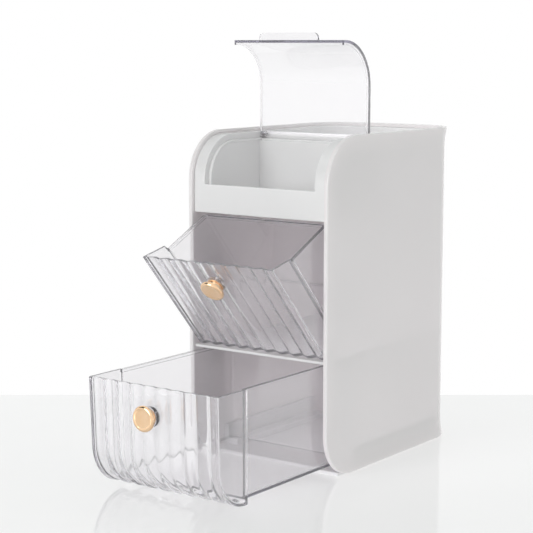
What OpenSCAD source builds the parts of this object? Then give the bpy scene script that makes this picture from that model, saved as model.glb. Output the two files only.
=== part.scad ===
// Desktop makeup organizer: a white casing with a clear flip lid over a top bin,
// a clear tilt-out bin in the middle and a clear drawer below. Millimetres, +Z up.
// X is across, Y runs from the front to the back, Z = 0 is the surface it stands on,
// and the origin is under the middle of the cabinet. The lid and the tilt bin are
// drawn open and the drawer pulled out.

/* [Cabinet] */
// Width over the flared rims
width = 152; // [130:1:180]
// Depth over the flared rims
depth = 228; // [205:1:260]
// Height to the top of the flared rim
height = 300; // [290:1:325]
// Thickness of the casing's plain wall
wall = 1.9; // [1.6:0.1:2.4]
// How far the casing's rims flare outwards
flare = 2.2; // [0.8:0.1:3]
// Width of the flared band
flare_band = 20; // [14:1:26]
// Radius of the side's top front corner
top_radius = 43.5; // [36:0.5:48]
// Radius of the side's bottom front corner
foot_radius = 40; // [30:0.5:44]
// Radius of the rear corners, seen from above, on the plain wall
rear_radius = 36; // [20:1:45]
// Gap between the casing's lower edge and the floor
casing_lift = 0.8; // [0.4:0.1:2]

/* [Top] */
// How far the front frame lies behind the casing's front edge
recess = 3.5; // [2.5:0.1:5]
// Width of the frame's bands beside the lid
band = 11.9; // [9:0.1:15]
// Distance from the top of the flared rim to the fascia's lower edge
fascia_drop = 72.4; // [68:0.1:78]
// Height of the fascia
fascia_h = 25.4; // [20:0.1:32]
// Thickness of the frame, tray and bin walls
shell = 2.4; // [1.8:0.1:3]
// Depth of the step from the frame's face to the lid's ledge
ledge_drop = 5.5; // [4:0.1:8]
// Width of the ledge inside the frame
ledge = 3; // [2:0.1:5]
// Distance from the casing's front edge to the lid's hinge line
hinge_y = 89.5; // [82:0.5:100]
// Depth of the hinge line under the frame's face
hinge_drop = 1.5; // [1:0.1:1.6]
// Depth of the recess in the rear tray
tray_drop = 12; // [6:0.5:20]
// Width of the rear tray's rim
tray_rim = 7; // [5:0.5:12]

/* [Lid] */
// Thickness of the lid
lid_t = 2.3; // [1.8:0.1:3]
// Width of the ribs along the lid's sides
lid_rib = 1.8; // [1.4:0.1:2.4]
// Gap between those ribs and the ledge
rib_gap = 1.3; // [0.3:0.1:2]
// Gap beside the lid
lid_gap = 0.4; // [0.3:0.1:1]
// Width of the lid's handle lip
lip_w = 64; // [40:1:90]
// How far the handle lip sticks out
lip_out = 6.5; // [5:0.5:9]
// Radius of the handle lip's corners
lip_r = 5; // [2:0.5:5]
// Radius of the hinge pins
pin_r = 1.2; // [1:0.1:1.5]
// Length of the lid's hinge ears
ear_len = 5; // [4:0.5:8]
// How far the lid is open
lid_open = 90; // [0:1:90]

/* [Shelf and base] */
// Height of the shelf's top face
shelf_z = 105.7; // [100:0.1:110]
// Thickness of the shelf
shelf_t = 2.4; // [1.8:0.1:3]
// Thickness of the base plate
base_t = 3; // [2:0.1:3.4]
// Set-back of the base plate's front edge
base_setback = 24; // [16:1:40]
// Height of the drawer's sliding face
slide_z = 8.7; // [7:0.1:12]
// Height of the runners' guide walls
guide_h = 20; // [14:0.5:40]
// Width of the runners' sliding ledge
slide_w = 9; // [6:0.5:14]

/* [Clear fronts] */
// Wall of the clear mouldings
clear_t = 2.2; // [1.8:0.1:3]
// Gap between the clear fronts and the casing walls
front_gap = 2.9; // [2:0.1:3.6]
// How far the closed fronts lie behind the casing's front edge
front_recess = 2.6; // [2:0.1:4]
// Number of flutes across a front
flutes = 10; // [6:2:14]
// Depth of the flutes
flute_depth = 1.7; // [0.8:0.1:2.4]
// Radius of the fronts' upright corners
front_corner = 3; // [2:0.5:4]
// Step from the fronts' returns to the boxes behind them
body_step = 3.8; // [3:0.1:5]
// Radius of the boxes' upright rear corners
box_corner = 5; // [3:0.5:8]
// Height of the bead round the boxes' rims
bead_h = 3; // [2:0.5:5]
// How far the bead stands out
bead_out = 1.2; // [0.6:0.1:1.8]
// Distance of the knobs below the fronts' top edges
knob_drop = 25; // [20:1:45]

/* [Tilt bin] */
// Gap between the shelf and the front's foot as it swings past
foot_clear = 0.2; // [0.2:0.1:1]
// Gap above the bin's front
top_clear = 0.8; // [0.6:0.1:3]
// Depth of the bin
bin_depth = 83.5; // [70:0.5:88]
// Gap above the bin's rear edge as it swings past under the top bin
back_clear = 2.4; // [1:0.1:10]
// How much lower the side walls are just behind the front's returns
bin_side_drop = 17.6; // [15:0.1:28]
// How much lower the returns' rear ends are
bin_return_drop = 15.1; // [9:0.1:26]
// Depth of the returns
bin_return = 27; // [20:0.5:35]
// Distance of the pivot behind the front
pivot_back = 4.6; // [4.2:0.1:8]
// Height of the pivot over the front's foot
pivot_up = 6; // [4.5:0.1:9]
// Radius of the pivot pins
pivot_r = 1.8; // [1.5:0.1:2]
// Depth of the pivot sockets in the casing walls
socket = 1.4; // [1:0.1:1.6]
// How far the bin is tilted open
bin_open = 42; // [0:1:42]

/* [Drawer] */
// Gap above the drawer's rim
drawer_clear = 1.8; // [1.2:0.1:10]
// Height of the curled front's underside above the floor
curl_z = 4.4; // [4:0.1:6]
// Depth of the drawer
drawer_depth = 196; // [180:1:205]
// How far the hollow in the front's returns runs on behind the curl
return_run = 0.3; // [0.2:0.1:10]
// Length of the drawer that stays on its runners when it is pulled right out
drawer_hold = 9.1; // [6:0.1:50]
// How far the drawer is pulled out, as a share of its travel
drawer_open = 1; // [0:0.05:1]

/* [Knobs] */
// Radius of the knob's disc
knob_r = 11; // [8:0.5:13]
// Thickness of the disc
knob_t = 4.4; // [3:0.1:6]
// Radius of the neck
neck_r = 6.6; // [5:0.1:8]
// Length of the neck
neck_l = 4.2; // [3:0.1:8]
// Radius of the clear collar
collar_r = 8.6; // [7.8:0.1:10]
// Thickness of the clear collar
collar_t = 2.6; // [1.5:0.1:4]
// Radius of the screw's shank
screw_r = 1.5; // [1.2:0.1:2]

/* [Hidden] */
$fn = 64;

white = [0.93, 0.93, 0.94];
clear = [0.86, 0.87, 0.9, 0.35];
gold = [0.85, 0.65, 0.35];
steel = [0.7, 0.7, 0.72];

eps = 0.01;                                  // overlap of a cut past a face
seat = 0.3;                                  // gap of pieces that slide on one another
running = 0.08;                              // radial gap of a pin that turns
half_out = width / 2 - flare;                // plain wall's outer face
half_in = half_out - wall;                   // plain wall's inner face
back_out = depth - flare;
back_in = back_out - wall;
corner_y = back_out - rear_radius;           // centre line of the rear corners
corner_x = half_out - rear_radius;
rear_inner = rear_radius - wall;
open_half = half_in - band;                  // half of the lid opening
face_z = height - recess;                    // the frame's top face
hinge_z = face_z - hinge_drop;
tray_y = hinge_y + 2 * shell;                // front edge of the rear tray
fascia_z = height - fascia_drop;
fascia_top = fascia_z + fascia_h;
bin_half = open_half - ledge;                // inside of the top bin
front_half = half_in - front_gap;
pitch = 2 * (front_half - front_corner) / (flutes - 1);
box_half = front_half - body_step;           // outside of the boxes' beads
wall_half = box_half - bead_out;             // outside of the boxes' walls
wall_corner = box_corner - bead_out;
pivot_y = front_recess + pivot_back;
pivot_z = shelf_z + foot_clear + norm([pivot_back, pivot_up]);
front_z = pivot_z - pivot_up;                // foot of the tilt bin's front
front_h = fascia_z - top_clear - front_z;
bin_knob_z = front_h - knob_drop;
curl_r = foot_radius - front_recess;
drawer_return = curl_r + return_run + clear_t;
runner_start = drawer_return + 1;            // behind the closed drawer's front
drawer_pull = drawer_open * (drawer_depth - runner_start - drawer_hold);
drawer_h = shelf_z - shelf_t - drawer_clear - curl_z;
drawer_knob_z = drawer_h - knob_drop;
body_z = slide_z + seat;
knob_hole = screw_r + 0.4;
pin_head = 1;                                // thickness of the pivot pins' heads

// Moves a shape drawn from the casing's front edge into the part's frame
module cabinet() { translate([0, -depth / 2, 0]) children(); }

// Extrudes a side view, drawn as (y, z), across from x0 to x1
module across(x0, x1) {
    translate([x0, 0, 0]) rotate([90, 0, 90]) linear_extrude(x1 - x0) children();
}

// Draws a piece at both sides
module both_sides() {
    children();
    mirror([1, 0, 0]) children();
}

// Side view of the casing, drawn in by d and run on to y_end
module side_view(d, y_end, z0) {
    r_top = top_radius - d;
    r_foot = foot_radius - d;
    union() {
        translate([top_radius, height - top_radius]) circle(r_top);
        translate([foot_radius, z0 + foot_radius]) circle(r_foot);
        translate([d, z0 + foot_radius]) square([y_end - d, height - top_radius - z0 - foot_radius]);
        translate([top_radius, height - top_radius - eps]) square([y_end - top_radius, r_top + eps]);
        translate([foot_radius, z0 + d]) square([y_end - foot_radius, foot_radius]);
    }
}

// View from above of a plate inside the casing, from y0 to the rear, drawn in by d
module plan_view(y0, d) {
    half = half_in - d;
    r = rear_inner - d;
    translate([-half, y0]) square([2 * half, corner_y - y0]);
    translate([-corner_x, y0]) square([2 * corner_x, back_in - d - y0]);
    for (side = [-1, 1]) translate([side * corner_x, corner_y]) circle(r);
}

// ---- Casing: one wall wrapped round both sides and the back, with flared rims ----

// How far the rim stands out at a distance s from its edge, as a soft cove
function cove(s) = s >= flare_band ? 0 : flare * pow(1 - s / flare_band, 1.7);
cove_steps = [for (i = [0:5]) i * flare_band / 5];

// Section of the wall: x from the plain outer face, and z
module wall_section() {
    polygon(concat(
        [[-wall, casing_lift], [-wall, height]],
        [for (s = cove_steps) [cove(s), height - s]],
        [for (i = [5:-1:0]) [cove(cove_steps[i]), casing_lift + cove_steps[i]]]));
}

// The hollow that leaves the cove along the top, front and foot of a side
module side_dish() {
    hull() for (s = cove_steps) {
        translate([half_out + cove(s), 0, 0]) rotate([90, 0, 90])
            linear_extrude(flare + 1) side_view(s, corner_y + flare_band, casing_lift, $fn = 48);
    }
}

module casing_side() {
    difference() {
        across(half_in, half_out + flare) intersection() {
            side_view(0, corner_y, casing_lift);
            translate([0, casing_lift]) square([corner_y, height]);
        }
        side_dish();
        translate([half_in - eps, pivot_y, pivot_z]) rotate([0, 90, 0])
            cylinder(h = socket + eps, r = pivot_r + running);
    }
}

module casing() {
    color(white) cabinet() {
        both_sides() {
            casing_side();
            translate([corner_x, corner_y, 0]) rotate_extrude(angle = 90)
                translate([rear_radius, 0]) wall_section();
        }
        translate([-corner_x, back_out, 0]) rotate([90, 0, 90])
            linear_extrude(2 * corner_x) wall_section();
    }
}

// ---- Front frame: fascia, bands beside the lid, step and ledge ----

// Strip of the side view between two insets, from height z0 round to y_end
module strip(d0, d1, z0, y_end) {
    intersection() {
        difference() {
            side_view(d0, y_end, 0);
            side_view(d1, y_end + 1, 0);
        }
        translate([0, z0]) square([y_end, height - z0]);
    }
}

module front_frame() {
    step_in = recess + ledge_drop;
    post = shell + 1;
    rear = hinge_y - shell;
    color(white) cabinet() difference() {
        union() {
            both_sides() {
                across(open_half, half_in) strip(recess, recess + shell, fascia_z, tray_y);
                across(open_half, open_half + shell)
                    strip(recess, step_in + shell, fascia_top - shell, rear);
                across(bin_half, open_half + shell)
                    strip(step_in, step_in + shell, fascia_top - shell, rear);
                // post that holds the hinge pin
                translate([open_half, hinge_y - post, hinge_z - post])
                    cube([post, 2 * post, post + hinge_drop]);
            }
            across(-half_in, half_in) intersection() {
                strip(recess, recess + shell, fascia_z, rear);
                square([hinge_y, fascia_top]);
            }
        }
        translate([-half_in, hinge_y, hinge_z]) rotate([0, 90, 0])
            cylinder(h = 2 * half_in, r = pin_r);
    }
}

// ---- Rear tray: deck behind the hinge, with a shallow recess ----
module rear_tray() {
    floor_z = face_z - tray_drop;
    color(white) cabinet() {
        difference() {
            union() {
                translate([0, 0, face_z - shell]) linear_extrude(shell) plan_view(tray_y, 0);
                translate([0, 0, floor_z - shell]) linear_extrude(tray_drop)
                    plan_view(tray_y, tray_rim - shell);
            }
            translate([0, 0, floor_z]) linear_extrude(tray_drop + eps)
                plan_view(tray_y + shell, tray_rim);
        }
        // trough under the lid's root
        translate([-bin_half, hinge_y - 2 * shell, hinge_z - 3 * shell])
            cube([2 * bin_half, 5 * shell, shell]);
    }
}

// ---- Top bin: white insert under the lid ----
module top_bin() {
    d = recess + ledge_drop + shell;
    color(white) cabinet() difference() {
        across(-bin_half - shell, bin_half + shell) intersection() {
            translate([recess + shell, fascia_z])
                square([hinge_y - 2 * shell - recess - shell, height]);
            union() {
                side_view(d, hinge_y, 0);
                translate([0, fascia_z]) square([hinge_y, fascia_top - shell - fascia_z]);
            }
        }
        across(-bin_half, bin_half) translate([recess + 2 * shell, fascia_z + shell])
            square([hinge_y - 4 * shell - recess - shell, height]);
    }
}

// ---- Shelf, base plate and drawer runners ----
module shelf() {
    color(white) cabinet() translate([0, 0, shelf_z - shelf_t])
        linear_extrude(shelf_t) plan_view(recess, 0);
}

module base_plate() {
    color(white) cabinet() linear_extrude(base_t) plan_view(base_setback, 0);
}

// Right-hand runner: a ledge under the drawer and a guide wall beside it
module runner() {
    start = front_recess + runner_start;
    inner = wall_half + seat;
    translate([inner, start, base_t]) cube([half_in - inner, corner_y - start, guide_h]);
    translate([inner - slide_w, start, base_t])
        cube([slide_w + eps, corner_y - start, slide_z - base_t]);
}
module runner_left() { color(white) cabinet() mirror([1, 0, 0]) runner(); }
module runner_right() { color(white) cabinet() runner(); }

// ---- Lid: clear sheet, flat at the rear and curved down at the front ----

// The lid is drawn closed, then turned open about its hinge line
module lid() {
    half = open_half - lid_gap;
    color(clear) cabinet() translate([0, hinge_y, hinge_z]) rotate([-lid_open, 0, 0])
    translate([0, -hinge_y, -hinge_z]) difference() {
        union() {
            across(-half, half) strip(recess, recess + lid_t, fascia_top + seat, hinge_y);
            both_sides() across(half - lid_rib, half)
                strip(recess, recess + ledge_drop - rib_gap, fascia_top + seat, hinge_y);
            translate([0, recess, fascia_top + seat]) linear_extrude(lid_t) lip();
            both_sides() translate([half - ear_len, hinge_y, hinge_z]) rotate([0, 90, 0])
                cylinder(h = ear_len, r = 2 * pin_r);
        }
        both_sides() translate([half - ear_len - eps, hinge_y, hinge_z]) rotate([0, 90, 0])
            cylinder(h = ear_len + 2 * eps, r = pin_r + running);
    }
}

// View from above of the handle lip, with its free corners rounded
module lip() {
    run = lip_out + lid_t - lip_r;
    translate([-lip_w / 2, lip_r - lip_out]) square([lip_w, run]);
    translate([lip_r - lip_w / 2, -lip_out]) square([lip_w - 2 * lip_r, lip_r + run]);
    for (side = [-1, 1]) translate([side * (lip_w / 2 - lip_r), lip_r - lip_out]) circle(lip_r);
}

module lid_pin() {
    translate([open_half - lid_gap - ear_len, hinge_y, hinge_z]) rotate([0, 90, 0])
        cylinder(h = ear_len + lid_gap + shell + 1, r = pin_r);
}
module lid_pin_left() { color(steel) cabinet() mirror([1, 0, 0]) lid_pin(); }
module lid_pin_right() { color(steel) cabinet() lid_pin(); }

// ---- Fluted fronts ----

// Depth of the front's face behind its crests at x, rounded off at the corners
function flute(x) = flute_depth / 2 * (1 + cos(360 * x / pitch));
function corner_off(x, half, r) =
    abs(x) <= half - r ? 0 : r - sqrt(max(0, r * r - pow(abs(x) - half + r, 2)));
function front_face(x, half) =
    max(abs(x) > half - front_corner ? 0 : flute(x), corner_off(x, half, front_corner));
function front_xs(half) = concat(
    [for (a = [90:-18:18]) -half + front_corner * (1 - sin(a))],
    [for (i = [0:8 * flutes]) (half - front_corner) * (i / (4 * flutes) - 1)],
    [for (a = [18:18:90]) half - front_corner * (1 - sin(a))]);

// Points of a front, seen from above: its face at x, set back by t
function front_points(half, t) =
    [for (x = front_xs(half)) [x * (half - t) / half, front_face(x, half) + t]];

// View from above of a front block that runs back to y_end
module front_plan(half, t, y_end) {
    polygon(concat([[-half + t, y_end]], front_points(half, t), [[half - t, y_end]]));
}

// The front block's foot: its face turned a quarter round the curl's axis, then run back
module front_curl(half, t, r, y_end) {
    translate([0, r, r]) rotate([90, 0, 90]) rotate([0, 0, 180]) rotate_extrude(angle = 90)
        polygon(concat([[0, t - half]], [for (p = front_points(half, t)) [r - p[1], p[0]]],
            [[0, half - t]]));
    translate([0, y_end, 0]) rotate([90, 0, 0]) linear_extrude(y_end - r)
        front_plan(half, t, r);
}

// ---- Tilt bin: clear, with a fluted front on pins at its foot ----

// Brings a shape drawn closed, from the foot of the front, to the open bin
module bin_place() {
    cabinet() translate([0, pivot_y, pivot_z]) rotate([bin_open, 0, 0])
        translate([0, -pivot_back, -pivot_up]) children();
}

// View from above of a box behind a front, with rounded rear corners
module box_plan(half, y0, y1, r) {
    translate([-half, y0]) square([2 * half, y1 - r - y0]);
    translate([r - half, y0]) square([2 * (half - r), y1 - y0]);
    for (side = [-1, 1]) translate([side * (half - r), y1 - r]) circle(r);
}

// Side view of the bin's box, from its rim down by drop
module bin_side(drop) {
    side_h = front_h - bin_side_drop;
    reach = fascia_z - pivot_z - back_clear;
    back_h = pivot_up + sqrt(pow(reach, 2) - pow(bin_depth - pivot_back, 2));
    start = bin_return - clear_t;
    polygon([[start, side_h - drop], [bin_depth, back_h - drop],
        [bin_depth, back_h], [start, side_h]]);
}

// Outer form: the front with its returns, and the narrower box behind them
module bin_form() {
    start = bin_return - clear_t;
    intersection() {
        linear_extrude(front_h + 1) front_plan(front_half, 0, bin_return);
        across(-width, width) polygon([[0, 0], [bin_return, 0],
            [bin_return, front_h - bin_return_drop], [0, front_h]]);
    }
    intersection() {
        linear_extrude(front_h)
            box_plan(wall_half, start, bin_depth - bead_out, wall_corner);
        across(-width, width) bin_side(front_h);
    }
    intersection() {
        linear_extrude(front_h) box_plan(box_half, start, bin_depth, box_corner);
        across(-width, width) bin_side(bead_h);
    }
}

// The hollow inside it, open upwards
module bin_hollow() {
    inset = bead_out + clear_t;
    translate([0, 0, clear_t]) linear_extrude(front_h) {
        front_plan(front_half, clear_t, bin_return - clear_t);
        box_plan(box_half - inset, bin_return / 2, bin_depth - inset, wall_corner / 2);
    }
}

module tilt_bin() {
    color(clear) bin_place() difference() {
        bin_form();
        bin_hollow();
        translate([0, -1, bin_knob_z]) rotate([-90, 0, 0]) cylinder(h = 4 * clear_t, r = knob_hole);
        both_sides() translate([front_half - clear_t - 2 * pin_head, pivot_back, pivot_up])
            rotate([0, 90, 0]) {
                cylinder(h = width, r = pivot_r + running);
                cylinder(h = 2 * pin_head, r = pivot_r + 0.4 + running);
            }
    }
}

// Right-hand pivot pin: a head inside the bin and a shaft into the casing's socket
module bin_pin() {
    translate([front_half - clear_t - pin_head, pivot_back, pivot_up]) rotate([0, 90, 0]) {
        cylinder(h = pin_head, r = pivot_r + 0.4);
        cylinder(h = pin_head + clear_t + front_gap + socket - seat, r = pivot_r);
    }
}
module bin_pin_left() { color(steel) bin_place() mirror([1, 0, 0]) bin_pin(); }
module bin_pin_right() { color(steel) bin_place() bin_pin(); }

// ---- Drawer: clear, with a fluted front that curls under ----
module drawer_place() {
    cabinet() translate([0, front_recess - drawer_pull, curl_z]) children();
}

// The front and the box behind it, drawn in by t: the whole form at 0, its hollow at clear_t
module drawer_walls(t) {
    foot = body_z - curl_z + t;
    corner = t == 0 ? wall_corner : wall_corner / 2;
    front_curl(front_half, t, curl_r, drawer_return - t);
    translate([0, 0, curl_r]) linear_extrude(drawer_h - curl_r + t)
        front_plan(front_half, t, drawer_return - t);
    translate([0, 0, foot]) linear_extrude(drawer_h + t - foot)
        box_plan(wall_half - t, curl_r - t, drawer_depth - bead_out - t, corner);
}

module drawer() {
    color(clear) drawer_place() difference() {
        union() {
            drawer_walls(0);
            translate([0, 0, drawer_h - bead_h]) linear_extrude(bead_h)
                box_plan(box_half, curl_r, drawer_depth, box_corner);
        }
        drawer_walls(clear_t);
        translate([0, -1, drawer_knob_z]) rotate([-90, 0, 0])
            cylinder(h = 4 * clear_t, r = knob_hole);
    }
}

// ---- Knobs: gold disc on a neck, clear collar, screw from inside ----

// Puts a shape drawn along +Z onto a front at height z, pointing outwards
module on_front(z) { translate([0, 0, z]) rotate([90, 0, 0]) children(); }

module knob() {
    edge = knob_t / 2;
    color(gold) difference() {
        rotate_extrude() union() {
            translate([0, collar_t]) square([neck_r, neck_l + edge]);
            translate([0, collar_t]) square([neck_r + 1, 1]);
            translate([0, collar_t + neck_l]) square([knob_r - edge, knob_t]);
            translate([knob_r - edge, collar_t + neck_l + edge]) circle(edge);
        }
        translate([0, 0, collar_t - eps]) cylinder(h = neck_l + 1, r = screw_r + 0.05);
    }
}

module collar() {
    color(clear) difference() {
        cylinder(h = collar_t, r = collar_r);
        translate([0, 0, -eps]) cylinder(h = collar_t + 2 * eps, r = knob_hole);
    }
}

module screw() {
    inside = flute_depth + clear_t;
    color(steel) {
        translate([0, 0, -inside]) cylinder(h = inside + collar_t + neck_l, r = screw_r);
        translate([0, 0, -inside - 2]) cylinder(h = 2, r = 2 * screw_r + 1);
    }
}

module bin_knob() { bin_place() on_front(bin_knob_z) knob(); }
module bin_collar() { bin_place() on_front(bin_knob_z) collar(); }
module bin_screw() { bin_place() on_front(bin_knob_z) screw(); }
module drawer_knob() { drawer_place() on_front(drawer_knob_z) knob(); }
module drawer_collar() { drawer_place() on_front(drawer_knob_z) collar(); }
module drawer_screw() { drawer_place() on_front(drawer_knob_z) screw(); }

casing();
front_frame();
rear_tray();
top_bin();
shelf();
base_plate();
runner_left();
runner_right();
lid();
lid_pin_left();
lid_pin_right();
tilt_bin();
bin_pin_left();
bin_pin_right();
bin_knob();
bin_collar();
bin_screw();
drawer();
drawer_knob();
drawer_collar();
drawer_screw();
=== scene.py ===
"""A desktop makeup organizer: white casing, clear flip lid, clear tilt bin and clear drawer.

Points are worked out in millimetres from the casing's front edge, the middle of its width
and the surface it stands on. part() turns them into metres in the part's own frame, whose
origin is under the middle of the cabinet.
"""

import math

import bmesh
import bpy
import numpy as np
from mathutils import Matrix, Vector


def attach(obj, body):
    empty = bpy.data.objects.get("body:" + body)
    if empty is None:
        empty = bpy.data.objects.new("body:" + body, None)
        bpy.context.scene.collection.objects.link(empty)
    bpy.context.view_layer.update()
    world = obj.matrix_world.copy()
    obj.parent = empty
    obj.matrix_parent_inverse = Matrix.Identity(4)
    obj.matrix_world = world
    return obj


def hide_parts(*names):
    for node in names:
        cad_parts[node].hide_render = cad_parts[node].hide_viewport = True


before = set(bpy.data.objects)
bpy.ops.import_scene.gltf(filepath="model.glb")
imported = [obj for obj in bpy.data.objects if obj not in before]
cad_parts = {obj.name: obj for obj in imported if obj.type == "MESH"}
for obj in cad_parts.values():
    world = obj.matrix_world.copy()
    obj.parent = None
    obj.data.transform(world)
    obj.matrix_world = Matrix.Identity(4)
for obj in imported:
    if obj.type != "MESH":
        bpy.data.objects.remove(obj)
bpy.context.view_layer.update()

# ---- Casing ----
# The real piece is one glossy white ABS wall, injection moulded, that wraps both sides and
# the back. Its rims flare outwards in a soft cove along the top, the front and the foot, and
# its rear corners are strongly rounded. Each side has a shallow socket for a bin pin.


def patch_faces(patch, first):
    """Faces of one patch whose points start at index first: quads for a grid of points, or
    one flat face for a single ring of them."""
    if patch.ndim == 2:
        return [list(range(first, first + len(patch)))]
    i = first + np.arange(patch.shape[0] * patch.shape[1]).reshape(patch.shape[:2])
    quads = np.stack([i[:-1, :-1], i[1:, :-1], i[1:, 1:], i[:-1, 1:]], -1)
    return quads.reshape(-1, 4).tolist()


def part(name, patches, place=Matrix.Identity(4)):
    """A closed mesh object from patches that meet edge to edge, each a grid (m, n, 3) or a
    ring (k, 3) in millimetres. place moves it before it goes into the part's frame."""
    faces, first = [], 0
    for patch in patches:
        faces += patch_faces(patch, first)
        first += patch.size // 3
    points = np.vstack([p.reshape(-1, 3) for p in patches])
    mesh = bpy.data.meshes.new(name)
    mesh.from_pydata(points.tolist(), [], faces)
    mesh.transform(Matrix.Scale(0.001, 4) @ Matrix.Translation((0, -114, 0)) @ place)
    bm = bmesh.new()
    bm.from_mesh(mesh)
    bmesh.ops.remove_doubles(bm, verts=bm.verts, dist=2e-6)
    bmesh.ops.recalc_face_normals(bm, faces=bm.faces)
    bm.to_mesh(mesh)
    bm.free()
    obj = bpy.data.objects.new(name, mesh)
    bpy.context.scene.collection.objects.link(obj)
    return obj


def baked(obj):
    """obj with its modifiers made part of its mesh."""
    made = obj.evaluated_get(bpy.context.evaluated_depsgraph_get())
    mesh = bpy.data.meshes.new_from_object(made)
    obj.modifiers.clear()
    obj.data = mesh
    return obj


def carve(obj, operation, *others):
    """obj with the other solids cut out of it or joined to it, and those solids removed."""
    for other in others:
        step = obj.modifiers.new("carve", "BOOLEAN")
        step.operation, step.solver, step.object = operation, "EXACT", other
        baked(obj)
        bpy.data.objects.remove(other)
    return obj


def rod(name, start, end, radius, place=Matrix.Identity(4), sides=32):
    """A plain round bar between two points, for drilling holes."""
    a, b = Vector(start), Vector(end)
    turn = (b - a).to_track_quat("Z", "Y").to_matrix()
    angle = np.linspace(0, 2 * np.pi, sides, endpoint=False)
    ring = np.stack([radius * np.cos(angle), radius * np.sin(angle), 0 * angle], 1)
    ring = ring @ np.array(turn.transposed())
    low, high = ring + np.array(a), ring + np.array(b)
    wall = np.stack([np.vstack([low, low[:1]]), np.vstack([high, high[:1]])])
    return part(name, [low, wall, high], place)


def dress(obj, material, body, slot, *nodes, bevel=0.0, segments=3):
    """Gives a finished piece its edges, shading, material and place in the frame. bevel is
    the width in millimetres that its sharp edges are rounded to."""
    if bevel:
        edge = obj.modifiers.new("edges", "BEVEL")
        edge.width, edge.segments = bevel * 0.001, segments
        edge.limit_method, edge.angle_limit = "ANGLE", math.radians(32)
        edge.harden_normals = False
        baked(obj)
    obj.data.shade_smooth()
    obj.data.set_sharp_from_angle(angle=math.radians(40))
    weighted = obj.modifiers.new("flat faces stay flat", "WEIGHTED_NORMAL")
    weighted.keep_sharp = True
    obj.data.materials.clear()
    obj.data.materials.append(material)
    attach(obj, body)
    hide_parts(*nodes)
    return obj


def mottled(tree, scale, low, high, detail=4.0):
    """A noise in Object coordinates mapped to the range low to high. Returns its socket."""
    coords = tree.nodes.new("ShaderNodeTexCoord")
    noise = tree.nodes.new("ShaderNodeTexNoise")
    noise.inputs["Scale"].default_value = scale
    noise.inputs["Detail"].default_value = detail
    span = tree.nodes.new("ShaderNodeMapRange")
    span.inputs["From Min"].default_value, span.inputs["From Max"].default_value = 0.3, 0.7
    span.inputs["To Min"].default_value, span.inputs["To Max"].default_value = low, high
    tree.links.new(coords.outputs["Object"], noise.inputs["Vector"])
    tree.links.new(noise.outputs["Fac"], span.inputs["Value"])
    return span.outputs["Result"]


def relief(tree, height, strength, distance, under=None):
    """A bump from a height socket, on top of the bump under it. Returns its normal."""
    bump = tree.nodes.new("ShaderNodeBump")
    bump.inputs["Strength"].default_value = strength
    bump.inputs["Distance"].default_value = distance
    tree.links.new(height, bump.inputs["Height"])
    if under is not None:
        tree.links.new(under, bump.inputs["Normal"])
    return bump.outputs["Normal"]


def tinted(tree, amount, first, second):
    """A colour between two others, by an amount socket."""
    mix = tree.nodes.new("ShaderNodeMix")
    mix.data_type = "RGBA"
    mix.inputs["A"].default_value, mix.inputs["B"].default_value = first, second
    tree.links.new(amount, mix.inputs["Factor"])
    return mix.outputs["Result"]


def white_plastic(name, light, dark, gloss, grain, depth):
    """Glossy moulded ABS: a faint cloudiness of colour, a slow ripple from the mould, a fine
    orange peel and slightly uneven gloss. Light spreads inside the plastic over the depth, in
    metres; with a depth of 0 it stays at the surface."""
    material = bpy.data.materials.new(name)
    material.use_nodes = True
    tree = material.node_tree
    shader = tree.nodes["Principled BSDF"]
    shader.inputs["IOR"].default_value = 1.53
    shader.inputs["Subsurface Weight"].default_value = 1 if depth else 0
    shader.inputs["Subsurface Radius"].default_value = (1, 1, 1)
    shader.inputs["Subsurface Scale"].default_value = depth
    tree.links.new(tinted(tree, mottled(tree, 9, 0, 1), light, dark), shader.inputs["Base Color"])
    tree.links.new(mottled(tree, 40, gloss, gloss + 0.06), shader.inputs["Roughness"])
    ripple = relief(tree, mottled(tree, 14, 0, 1, 1), 0.25, 0.0004)
    tree.links.new(relief(tree, mottled(tree, grain, 0, 1), 0.1, 0.00005, ripple), shader.inputs["Normal"])
    return material


def casing_half(radius, level, up):
    """Right-hand half of the casing's rim line at the top (up = 1) or the foot (up = -1), as
    points on the plain wall, directions along the wall away from the rim, and the wall's
    outward directions: a quarter round the side's front corner, straight back, a quarter
    round the rear corner and on to the middle of the back."""
    side, corner_x, corner_y, rear = 73.8, 37.8, 189.8, 36
    a = np.radians(np.linspace(0, 90, 25))
    n = len(a)
    front = np.stack([np.full(n, side), radius * (1 - np.cos(a)), level - up * radius * (1 - np.sin(a))], 1)
    straight = np.array([[side, y, level] for y in (radius + 4, 80, 120, 160, corner_y - 4)])
    corner = np.stack([corner_x + rear * np.cos(a), corner_y + rear * np.sin(a), np.full(n, level)], 1)
    back = np.array([[corner_x - 4, corner_y + rear, level], [12, corner_y + rear, level]])
    points = np.vstack([front, straight, corner, back])
    inwards = np.tile([0.0, 0.0, -up], (len(points), 1))
    inwards[:n] = np.stack([0 * a, np.cos(a), -up * np.sin(a)], 1)
    outwards = np.tile([1.0, 0.0, 0.0], (len(points), 1))
    first = n + len(straight)
    outwards[first : first + n] = np.stack([np.cos(a), np.sin(a), 0 * a], 1)
    outwards[first + n :] = [0, 1, 0]
    return points, inwards, outwards


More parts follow.
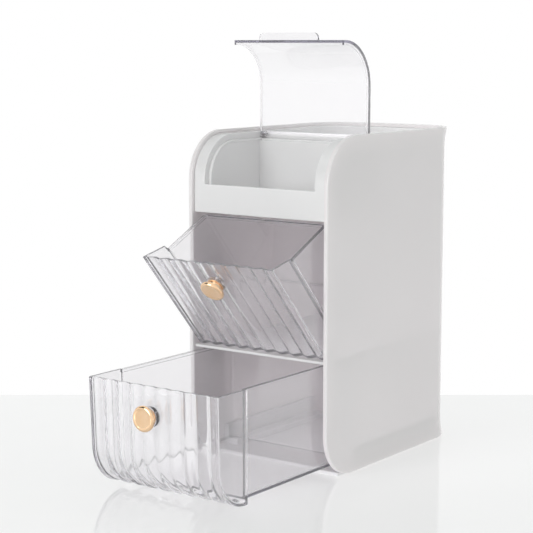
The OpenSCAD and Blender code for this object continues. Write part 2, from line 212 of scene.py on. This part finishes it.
def casing_profile():
    """Section through the rim, from the inner wall over the edge to the plain outer wall, as
    (offset from the outer wall, distance from the rim). The flare at a distance s is
    flare * (1 - s / band) to the power 1.7, and both edges of the rim are rounded."""
    wall, flare, band = 1.9, 2.2, 20
    inner_round, outer_round = 0.5, 0.9
    quarter = np.radians(np.linspace(0, 90, 6))
    inner_x = -wall + inner_round * (1 - np.cos(quarter))
    inner = np.stack([inner_x, inner_round * (1 - np.sin(quarter))], 1)
    s = np.linspace(outer_round, band, 22)
    cove = flare * (1 - s / band) ** 1.7
    outer_x = cove[0] - outer_round * (1 - np.sin(quarter))
    outer = np.stack([outer_x, outer_round * (1 - np.cos(quarter))], 1)
    return np.vstack([[[-wall, band], [-wall, 0.8]], inner, outer, np.stack([cove, s], 1)[1:]])


def casing_rim(radius, level, up, profile):
    """The rim's skin over its whole length, from the right front corner to the left one: a
    grid of the rim line by the profile."""
    points, inwards, outwards = casing_half(radius, level, up)
    offset, depth = profile[:, 0], profile[:, 1]
    half = (
        points[:, None]
        + outwards[:, None] * offset[None, :, None]
        + inwards[:, None] * depth[None, :, None]
    )
    return np.concatenate([half, half[::-1] * [-1, 1, 1]])


top_radius, top_z = 43.5, 300
foot_radius, foot_z = 40, 0.8
profile = casing_profile()
top_rim = casing_rim(top_radius, top_z, 1, profile)
foot_rim = casing_rim(foot_radius, foot_z, -1, profile)
panels = [np.stack([top_rim[:, k], foot_rim[:, k]]) for k in (0, -1)]
fronts = [np.stack([top_rim[k], foot_rim[k]]) for k in (0, -1)]
casing = part("casing_shell", [top_rim, foot_rim, *panels, *fronts])
# The bin's turning line, which the sockets in the side walls lie on.
pivot_y, pivot_z = 7.2, 113.46
carve(casing, "DIFFERENCE", *[
    rod("socket", (side * 60, pivot_y, pivot_z), (side * 73.3, pivot_y, pivot_z), 1.9)
    for side in (-1, 1)
])
pale, paler = (0.895, 0.86, 0.866, 1), (0.91, 0.875, 0.88, 1)
shell_white = white_plastic("white_gloss", pale, paler, 0.12, 900, 0.0024)
dress(casing, shell_white, "cabinet", "white_shell", "casing")

# ---- White inner pieces ----
# The front frame with its fascia, bands and lid ledge, the rear tray, the insert of the top
# bin, the shelf, the base plate and the drawer's runners: white ABS mouldings clipped into
# the casing, with small rounded edges.


def copied(node, name):
    """A copy of a CAD node with its corners merged and its flat faces made whole."""
    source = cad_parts[node]
    obj = bpy.data.objects.new(name, source.data.copy())
    bpy.context.scene.collection.objects.link(obj)
    bm = bmesh.new()
    bm.from_mesh(obj.data)
    bmesh.ops.remove_doubles(bm, verts=bm.verts, dist=2e-6)
    bmesh.ops.dissolve_limit(bm, angle_limit=math.radians(0.5), verts=bm.verts, edges=bm.edges)
    bm.to_mesh(obj.data)
    bm.free()
    return obj


pale, paler = (0.885, 0.878, 0.882, 1), (0.90, 0.893, 0.897, 1)
inner_white = white_plastic("white_satin", pale, paler, 0.2, 700, 0.001)
for node, name, bevel in (
    ("front_frame", "front_frame_moulding", 0.6),
    ("rear_tray", "rear_tray_moulding", 0.6),
    ("top_bin", "top_bin_insert", 0.5),
    ("shelf", "shelf_plate", 0.6),
    ("base_plate", "base_plate_moulding", 0.5),
    ("runner_left", "drawer_runner_left", 0.4),
    ("runner_right", "drawer_runner_right", 0.4),
):
    piece = copied(node, name)
    if node.startswith("runner"):
        # The guide wall's face, 64.1 from the middle, goes back to 66.8, clear of the drawer.
        points = np.empty(3 * len(piece.data.vertices), np.float32)
        piece.data.vertices.foreach_get("co", points)
        x = points[::3]
        guide = np.abs(np.abs(x) - 0.0641) < 0.0003
        x[guide] = np.copysign(0.0668, x[guide])
        piece.data.vertices.foreach_set("co", points)
        piece.data.update()
    dress(piece, inner_white, "cabinet", "white_shell", node, bevel=bevel)

# ---- Lid ----
# The real piece is one clear polystyrene sheet that follows the casing's top front corner,
# with a rib along each side, a finger lip on its front edge and an ear at each rear corner.


def clear_plastic(name, tint):
    """Clear moulded polystyrene: a trace of grey violet that deepens where it is seen along
    its thickness, faint flow ripples and a fine uneven gloss. Rays from lamps pass through,
    so what lies behind it is lit."""
    material = bpy.data.materials.new(name)
    material.use_nodes = True
    tree = material.node_tree
    shader = tree.nodes["Principled BSDF"]
    shader.inputs["IOR"].default_value = 1.56
    shader.inputs["Transmission Weight"].default_value = 0.935
    tree.links.new(tinted(tree, mottled(tree, 12, 0, 1), tint, (1, 0.995, 1, 1)), shader.inputs["Base Color"])
    tree.links.new(mottled(tree, 60, 0.0, 0.02), shader.inputs["Roughness"])
    tree.links.new(relief(tree, mottled(tree, 18, 0, 1, 0), 0.08, 0.0001), shader.inputs["Normal"])
    lamps = tree.nodes.new("ShaderNodeBsdfTransparent")
    lamps.inputs["Color"].default_value = (0.98, 0.975, 0.98, 1)
    path = tree.nodes.new("ShaderNodeLightPath")
    mix = tree.nodes.new("ShaderNodeMixShader")
    tree.links.new(path.outputs["Is Shadow Ray"], mix.inputs["Fac"])
    tree.links.new(shader.outputs["BSDF"], mix.inputs[1])
    tree.links.new(lamps.outputs["BSDF"], mix.inputs[2])
    tree.links.new(mix.outputs["Shader"], tree.nodes["Material Output"].inputs["Surface"])
    depth = tree.nodes.new("ShaderNodeVolumeAbsorption")
    depth.inputs["Color"].default_value = (0.46, 0.43, 0.60, 1)
    depth.inputs["Density"].default_value = 12
    tree.links.new(depth.outputs["Volume"], tree.nodes["Material Output"].inputs["Volume"])
    return material


def bent_section(section, z_start, y_end):
    """A section of (x, inset from the side's outline) points swept across the casing's top
    front corner: up from z_start, a quarter round it at the corner's radius less the inset,
    and back to y_end."""
    a = np.radians(np.linspace(0, 90, 41))
    rails = []
    for x, d in section:
        r = top_radius - d
        y = np.concatenate([[d], top_radius - r * np.cos(a), [y_end]])
        z = np.concatenate([[z_start], top_z - top_radius + r * np.sin(a), [top_z - d]])
        rails.append(np.stack([np.full(len(y), x), y, z], 1))
    skin = np.stack(rails + rails[:1], 1)
    return [skin, skin[0, :-1], skin[-1, :-1]]


def tab(half, y0, y1, z0, z1, corner):
    """A flat tab between y0, its free edge, and y1, with the free corners rounded."""
    a = np.radians(np.linspace(90, 0, 9))
    x = half - corner + corner * np.cos(a)
    y = y0 + corner - corner * np.sin(a)
    right = np.stack([np.append(x, half), np.append(y, y1)], 1)
    outline = np.vstack([right, right[::-1] * [-1, 1]])
    low, high = (np.column_stack([outline, np.full(len(outline), z)]) for z in (z0, z1))
    wall = np.stack([np.vstack([low, low[:1]]), np.vstack([high, high[:1]])])
    return [low, wall, high]


hinge_y, hinge_z = 89.5, 295
opened = (
    Matrix.Translation((0, hinge_y, hinge_z))
    @ Matrix.Rotation(math.radians(-90), 4, "X")
    @ Matrix.Translation((0, -hinge_y, -hinge_z))
)


def on_hinge(name, inner, outer, radius):
    """A pair of bars along the hinge line, each from inner to outer millimetres from the
    middle."""
    return [
        rod(name, (side * inner, hinge_y, hinge_z), (side * outer, hinge_y, hinge_z), radius, opened)
        for side in (-1, 1)
    ]


lid_half = 59.6
half_section = [(lid_half, 3.5), (lid_half, 7.7), (57.8, 7.7), (57.8, 5.8)]
section = half_section + [(-x, d) for x, d in half_section[::-1]]
lid = part("lid_sheet", bent_section(section, 253.3, hinge_y), opened)
lip = part("lip", tab(32, -3, 5.2, 253.34, 255.6, 5), opened)
ears = on_hinge("ear", lid_half - 5, lid_half, 2.4)
holes = on_hinge("hole", 54, 60, 1.3)
carve(lid, "UNION", lip, *ears)
carve(lid, "DIFFERENCE", *holes)
clear = clear_plastic("clear_plastic", (0.99, 0.985, 0.995, 1))
dress(lid, clear, "lid", "clear_plastic", "lid", bevel=0.25)

# ---- Tilt bin ----
# The real piece is one clear polystyrene moulding: a fluted front with short returns, and a
# narrower open box behind it, lower towards the rear. It turns on a pin at each foot corner.


def front_line(half, t):
    """The fluted front from above, set back by t, as x and the distance behind its crests.
    The flutes are a cosine wave: ten crests, nine pitches from the first to the last, which
    lie 3 inside the ends. The ends are rounded to the corner radius."""
    corner, flutes, depth, steps = 1.2, 10, 1.7, 14
    pitch = (half - 3) / 4.5
    a = np.radians(np.linspace(90, 0, 7)[:-1])
    end = half - corner * (1 - np.sin(a))
    flat = np.linspace(corner - half, half - corner, steps * flutes + 1)
    x = np.concatenate([-end, flat, end[::-1]])
    over = np.maximum(0, np.abs(x) - half + corner)
    rounded = corner - np.sqrt(np.maximum(0, corner**2 - over**2))
    wave = np.where(over > 0, 0, depth / 2 * (1 + np.cos(2 * np.pi * x / pitch)))
    return x * (half - t) / half, np.maximum(rounded, wave) + t


def box_line(half, rear, corner, start):
    """A box's walls from above, open at the front: from the right side at start round the
    rear corners to the left side at start."""
    a = np.radians(np.linspace(0, 90, 9))
    x = half - corner * (1 - np.cos(a))
    y = rear - corner * (1 - np.sin(a))
    right = np.stack([np.append([half], x), np.append([start], y)], 1)
    return np.vstack([right, right[::-1] * [-1, 1]])


bin_half, box_half, bin_rear = 69.7, 66.4, 82.3
bin_return = 27


def bin_ring(t, drop, out=0.0):
    """The tilt bin's wall from above, set back by t, at a height drop under its rim. The box
    behind the front stands out by out, where it has its bead. The rim falls in a straight
    line from the front to the returns' ends, steps down and falls on."""
    x, y = front_line(bin_half, t)
    corner = 3.8 + out - t * 0.86
    back = box_line(box_half - t + out, bin_rear - t + out, corner, bin_return - t)
    wide = np.array([[bin_half - t, bin_return - t], [t - bin_half, bin_return - t]])
    plan = np.vstack([np.stack([x, y], 1), wide[:1], back, wide[1:]])
    front_top, return_fall = 119.34, 15.1
    box_top, box_fall, box_front, box_run = 101.74, 16.62, 24.8, 58.7
    z = front_top - return_fall * plan[:, 1] / bin_return
    z[len(x) + 1 : -1] = box_top - box_fall * (back[:, 1] - box_front) / box_run
    return np.column_stack([plan, z - drop])


def bin_level(t, z):
    """The same wall from above at a fixed height z."""
    ring = bin_ring(t, 0)
    ring[:, 2] = z
    return ring


def beaded_rim(ring, thickness, edge):
    """Rings from the underside of the bead outside a wall's rim, round the bead, over the rim
    and down to its inner face, with all edges rounded."""
    a = np.radians(np.linspace(0, 90, 4))
    over = [(edge * (1 - math.cos(k)), edge * (1 - math.sin(k))) for k in a]
    reach = 1.2
    bead = [(3.3, 0), (3.08, 0.08), (3, 0.3), (3, 0.9), (2.9, 1.12), (2.6, reach)]
    outside = [ring(0, drop, out) for drop, out in bead] + [ring(t, drop, reach) for t, drop in over]
    return outside + [ring(thickness - t, drop) for t, drop in over[::-1]]


def closed(rings):
    """A grid through rings of equal length, each joined end to start."""
    grid = np.stack(rings)
    return np.concatenate([grid, grid[:, :1]], 1)


def bin_foot(t, radius):
    """Rings round the foot's edge of the wall set back by t: a quarter round of the radius,
    from the floor up to the wall."""
    turn = np.radians(np.linspace(0, 90, 5))
    return [bin_level(t + radius * (1 - math.sin(k)), t + radius * (1 - math.cos(k))) for k in turn]


# The wall's thickness, the rounding of its rim, and the turning line as seen from the foot
# of the front.
wall, edge = 2.2, 0.5
pivot_back, pivot_up = 4.6, 6
tilted = (
    Matrix.Translation((0, pivot_y, pivot_z))
    @ Matrix.Rotation(math.radians(42), 4, "X")
    @ Matrix.Translation((0, -pivot_back, -pivot_up))
)


def on_pivot(name, inner, outer, radius):
    """A pair of bars along the turning line, each from inner to outer millimetres from the
    middle."""
    return [
        rod(name, (side * inner, pivot_back, pivot_up), (side * outer, pivot_back, pivot_up), radius, tilted)
        for side in (-1, 1)
    ]


rings = bin_foot(0, 1.2) + beaded_rim(bin_ring, wall, edge) + bin_foot(wall, 1.5)[::-1]
tilt_bin = part("tilt_bin_moulding", [rings[0], closed(rings), rings[-1]], tilted)
bin_knob_z = 94.34
carve(
    tilt_bin,
    "DIFFERENCE",
    rod("knob_hole", (0, -2, bin_knob_z), (0, 6, bin_knob_z), 1.9, tilted),
    *on_pivot("pin_hole", 64, 80, 1.88),
    *on_pivot("pin_head", 64.5, 66.8, 2.28),
)
dress(tilt_bin, clear, "tilt_bin", "clear_plastic", "tilt_bin")

# ---- Drawer ----
# The real piece is one clear polystyrene moulding: a fluted front that curls under in a
# quarter round and ends in short returns, and a narrower open box behind it.


drawer_half, drawer_rear = 68.6, 194.8
drawer_return, rim_z = 39.9, 97.1


def drawer_rim(t, drop, out=0.0):
    """The drawer's wall from above, set back by t, at a height drop under its rim. The box
    behind the front stands out by out, where it has its bead."""
    x, y = front_line(drawer_half, t)
    corner = 3.8 + out - t * 0.86
    back = box_line(box_half - t + out, drawer_rear - t + out, corner, drawer_return - t)
    wide = np.array([[drawer_half - t, drawer_return - t], [t - drawer_half, drawer_return - t]])
    plan = np.vstack([np.stack([x, y], 1), wide[:1], back, wide[1:]])
    return np.column_stack([plan, np.full(len(plan), rim_z - drop)])


def drawer_skin(t, drop, fillet):
    """One face of the drawer's wall, set back by t, up to a height drop under the rim, as
    patches: the fluted front straight down, round the curl and back; the flat returns; the
    step behind them; and the box with its foot rounded by fillet."""
    radius, end, top = 37.4, drawer_return - t, rim_z - drop
    x, y = front_line(drawer_half, t)
    a = np.radians(np.linspace(0, 90, 33))[:, None]
    straight = [np.column_stack([x, y, np.full(len(x), z)]) for z in (top, 70, 45)]
    curl = np.stack([
        np.broadcast_to(x, (len(a), len(x))),
        radius - (radius - y) * np.cos(a),
        radius - (radius - y) * np.sin(a),
    ], -1)
    run = np.column_stack([x, np.full(len(x), end), y])
    front = np.concatenate([np.stack(straight), curl, run[None]])
    sides = []
    for k in (0, -1):
        edge = front[:-1, k]
        sides.append(np.stack([edge, np.column_stack([edge[:, 0], np.full(len(edge), end), edge[:, 2]])]))
    b = np.radians(np.linspace(0, 90, 5))
    floor_z = 4.6 + t
    levels = [(0, top)] + [(fillet * (1 - math.cos(k)), floor_z + fillet * (1 - math.sin(k))) for k in b]
    corner = 3.8 - t * 0.86
    box = []
    for inset, z in levels:
        line = box_line(box_half - t - inset, drawer_rear - t - inset, max(corner - inset, 0.3), end)
        box.append(np.column_stack([line, np.full(len(line), z)]))
    box = np.stack(box)
    step = np.vstack([sides[0][1], run[1:-1], sides[1][1][::-1], box[:, 0], box[::-1, -1]])
    return [front, *sides, box, box[-1], step]


def leaning(patch):
    """The patch with its front leaning back towards the foot and its sides drawn in: at a
    depth d under the rim the front moves back by 0.034 d and narrows by 0.00011 d of its
    width, both fading out to the returns' ends."""
    depth = rim_z - patch[..., 2]
    front = np.clip(1 - patch[..., 1] / drawer_return, 0, 1)
    return np.stack([
        patch[..., 0] * (1 - 0.00011 * depth * front),
        patch[..., 1] + 0.034 * depth * front,
        patch[..., 2],
    ], -1)


# Closed, the front lies 2.6 behind the casing's edge and its foot 4.4 above the floor.
travel = 146
drawn = Matrix.Translation((0, 2.6 - travel, 4.4))
drawer = part(
    "drawer_moulding",
    [
        leaning(patch)
        for patch in (
            *drawer_skin(0, 3.3, 1.5),
            *drawer_skin(wall, edge, 2),
            closed(beaded_rim(drawer_rim, wall, edge)),
        )
    ],
    drawn,
)
drawer_knob_z = 72.1
knob_hole = rod("knob_hole", (0, -2, drawer_knob_z), (0, 6, drawer_knob_z), 1.9, drawn)
carve(drawer, "DIFFERENCE", knob_hole)
dress(drawer, clear, "drawer", "clear_plastic", "drawer")

# ---- Knobs ----
# Each front has a turned and polished brass knob: a flat disc with a rounded edge on a
# stepped neck, a clear collar behind it and a steel screw from inside.


def lathe(name, outline, place, sides=96):
    """A turned piece: the outline of (radius, height) points swept round the upright axis."""
    angle = np.linspace(0, 2 * np.pi, sides + 1)[:, None]
    r, h = outline[:, 0], outline[:, 1]
    grid = np.stack([r * np.cos(angle), r * np.sin(angle), np.broadcast_to(h, (sides + 1, len(h)))], -1)
    return part(name, [grid], place)


def knob_outline():
    """Radius and height of the knob: foot ring, stepped neck and a disc whose edge is a full
    round that stands a little proud of the flat face."""
    a = np.radians(np.linspace(-90, 110, 17))
    disc = np.stack([8.9 + 2.1 * np.cos(a), 9.0 + 2.2 * np.sin(a)], 1)
    neck = [[0, 2.6], [7.3, 2.6], [7.6, 2.8], [7.6, 3.4], [7.4, 3.6], [6.2, 3.7], [5.9, 4.2],
            [5.9, 5.2], [6.1, 5.5], [6.6, 5.6], [6.6, 6.5], [6.7, 6.8]]
    face = [[7.9, 10.99], [7.5, 10.92], [6, 10.9], [3, 10.9], [0, 10.9]]
    return np.vstack([neck, disc, face])


def collar_outline(back):
    """Radius and height of the collar, from its bore over the back face, which lies at the
    height back, round the edge to the front face at 2.6, with small rounded corners."""
    return np.array([
        [1.9, back], [8.2, back], [8.5, back + 0.2], [8.6, back + 0.6],
        [8.6, 2.0], [8.5, 2.4], [8.2, 2.6], [1.9, 2.6], [1.9, back],
    ])


def brass(name):
    """Polished pale brass: a little uneven gloss and hairline polishing marks."""
    material = bpy.data.materials.new(name)
    material.use_nodes = True
    tree = material.node_tree
    shader = tree.nodes["Principled BSDF"]
    shader.inputs["Metallic"].default_value = 1
    tree.links.new(
        tinted(tree, mottled(tree, 120, 0, 1), (0.87, 0.60, 0.37, 1), (0.91, 0.66, 0.44, 1)),
        shader.inputs["Base Color"],
    )
    tree.links.new(mottled(tree, 300, 0.06, 0.13), shader.inputs["Roughness"])
    tree.links.new(relief(tree, mottled(tree, 2500, 0, 1), 0.04, 0.00002), shader.inputs["Normal"])
    return material


def steel_metal(name):
    """Plain bright steel with a fine uneven gloss."""
    material = bpy.data.materials.new(name)
    material.use_nodes = True
    tree = material.node_tree
    shader = tree.nodes["Principled BSDF"]
    shader.inputs["Metallic"].default_value = 1
    tree.links.new(
        tinted(tree, mottled(tree, 200, 0, 1), (0.55, 0.55, 0.57, 1), (0.63, 0.63, 0.65, 1)),
        shader.inputs["Base Color"],
    )
    tree.links.new(mottled(tree, 500, 0.2, 0.32), shader.inputs["Roughness"])
    tree.links.new(relief(tree, mottled(tree, 3000, 0, 1), 0.08, 0.00002), shader.inputs["Normal"])
    return material


gold, steel = brass("pale_brass"), steel_metal("bright_steel")
facing = Matrix.Rotation(math.radians(90), 4, "X")
# The drawer's front leans back under its rim, so the collar there reaches 1.1 further in.
for body, prefix, back, place in (
    ("tilt_bin", "bin", 0, tilted @ Matrix.Translation((0, 0, bin_knob_z)) @ facing),
    ("drawer", "drawer", -1.1, drawn @ Matrix.Translation((0, 0, drawer_knob_z)) @ facing),
):
    knob = lathe(prefix + "_knob_turned", knob_outline(), place)
    dress(knob, gold, body, "gold", prefix + "_knob")
    collar = lathe(prefix + "_knob_collar", collar_outline(back), place)
    dress(collar, clear, body, "clear_plastic", prefix + "_collar")
    screw = copied(prefix + "_screw", prefix + "_knob_screw")
    dress(screw, steel, body, "steel", prefix + "_screw", bevel=0.3)

# ---- Pins ----
# Plain steel pins, turned from bar: two sit in the cabinet and hold the lid at its ears, and
# two sit in the tilt bin's foot and turn in the sockets of the casing's sides.
for node, body in (
    ("lid_pin_left", "cabinet"),
    ("lid_pin_right", "cabinet"),
    ("bin_pin_left", "tilt_bin"),
    ("bin_pin_right", "tilt_bin"),
):
    dress(copied(node, node + "_turned"), steel, body, "steel", node, bevel=0.2)

# ---- Studio ----
# A pale glossy table top, lit softly from within, before a white background, one soft lamp in
# front, a black flag at the left for the brass to mirror, and the camera.
camera_data = bpy.data.cameras.new("camera")
camera_data.lens, camera_data.sensor_width = 104.65, 36
camera_data.clip_end = 20
camera = bpy.data.objects.new("camera", camera_data)
camera.location = (0.807885, -1.195162, 0.378832)
dip, turn = 0.143529, 0.634814
camera.rotation_euler = (math.pi / 2 - dip, 0, turn)
bpy.context.scene.collection.objects.link(camera)
bpy.context.scene.camera = camera

# The table lies square to the camera: from 1.5 behind it to an edge beyond the object.
ahead = np.array([-math.sin(turn), math.cos(turn), 0])
across = np.array([math.cos(turn), math.sin(turn), 0])
stand = np.array([camera.location.x, camera.location.y, 0])
near, far, half = -1.5, 1.646, 3
outline = ((near, -half), (near, half), (far, half), (far, -half))
corners = [stand + ahead * d + across * w for d, w in outline]
table_mesh = bpy.data.meshes.new("table_top")
table_mesh.from_pydata([c.tolist() for c in corners], [], [(0, 1, 2, 3)])
table = bpy.data.objects.new("table_top", table_mesh)
bpy.context.scene.collection.objects.link(table)
table_gloss = white_plastic("table_gloss", (0.66, 0.66, 0.66, 1), (0.67, 0.67, 0.67, 1), 0.03, 300, 0)
table_glow = table_gloss.node_tree.nodes["Principled BSDF"].inputs
table_glow["Emission Color"].default_value = (1, 1, 1, 1)
table_glow["Emission Strength"].default_value = 0.34
table_mesh.materials.append(table_gloss)


def lamp(name, place, target, size, power):
    """A square soft lamp at place that points at target."""
    data = bpy.data.lights.new(name, "AREA")
    data.shape, data.size, data.energy = "SQUARE", size, power
    obj = bpy.data.objects.new(name, data)
    obj.location = place
    obj.rotation_euler = (Vector(target) - Vector(place)).to_track_quat("-Z", "Y").to_euler()
    bpy.context.scene.collection.objects.link(obj)


lamp("key", (-0.3, -1.6, 0.6), (0, 0, 0.15), 0.8, 8)

flag_mesh = bpy.data.meshes.new("black_flag")
half = 0.25
corners = [(-half, -half, 0), (half, -half, 0), (half, half, 0), (-half, half, 0)]
flag_mesh.from_pydata(corners, [], [(0, 1, 2, 3)])
flag = bpy.data.objects.new("black_flag", flag_mesh)
flag.location = (-0.45, -0.61, 0.55)
flag.rotation_euler = (Vector((0, -0.27, 0.08)) - flag.location).to_track_quat("-Z", "Y").to_euler()
bpy.context.scene.collection.objects.link(flag)
# It is there for what the brass mirrors, so it doesn't stand in the way of a view.
flag.visible_camera = flag.visible_transmission = False
black, dark_grey = (0.01, 0.01, 0.01, 1), (0.02, 0.02, 0.02, 1)
flag_mesh.materials.append(white_plastic("black_cloth", black, dark_grey, 0.9, 300, 0))

world = bpy.data.worlds.new("studio")
bpy.context.scene.world = world
world.use_nodes = True
tree = world.node_tree
backdrop = tree.nodes["Background"]
backdrop.inputs["Color"].default_value = (1, 1, 1, 1)
fill = tree.nodes.new("ShaderNodeBackground")
fill.inputs["Color"].default_value = (0.97, 1, 0.985, 1)
fill.inputs["Strength"].default_value = 0.58
path = tree.nodes.new("ShaderNodeLightPath")
seen = tree.nodes.new("ShaderNodeMath")
seen.operation = "ADD"
direct = tree.nodes.new("ShaderNodeMath")
direct.operation, direct.use_clamp = "ADD", True
mix = tree.nodes.new("ShaderNodeMixShader")
tree.links.new(path.outputs["Is Camera Ray"], seen.inputs[0])
tree.links.new(path.outputs["Is Glossy Ray"], seen.inputs[1])
tree.links.new(seen.outputs["Value"], direct.inputs[0])
tree.links.new(path.outputs["Is Transmission Ray"], direct.inputs[1])
tree.links.new(direct.outputs["Value"], mix.inputs["Fac"])
tree.links.new(fill.outputs["Background"], mix.inputs[1])
tree.links.new(backdrop.outputs["Background"], mix.inputs[2])
tree.links.new(mix.outputs["Shader"], tree.nodes["World Output"].inputs["Surface"])

bpy.context.scene.view_settings.view_transform = "Standard"
# Light crosses many walls of clear plastic before it is lost.
cycles = bpy.context.scene.cycles
cycles.max_bounces = cycles.transmission_bounces = 48
cycles.diffuse_bounces = cycles.glossy_bounces = 10
cycles.transparent_max_bounces = 24
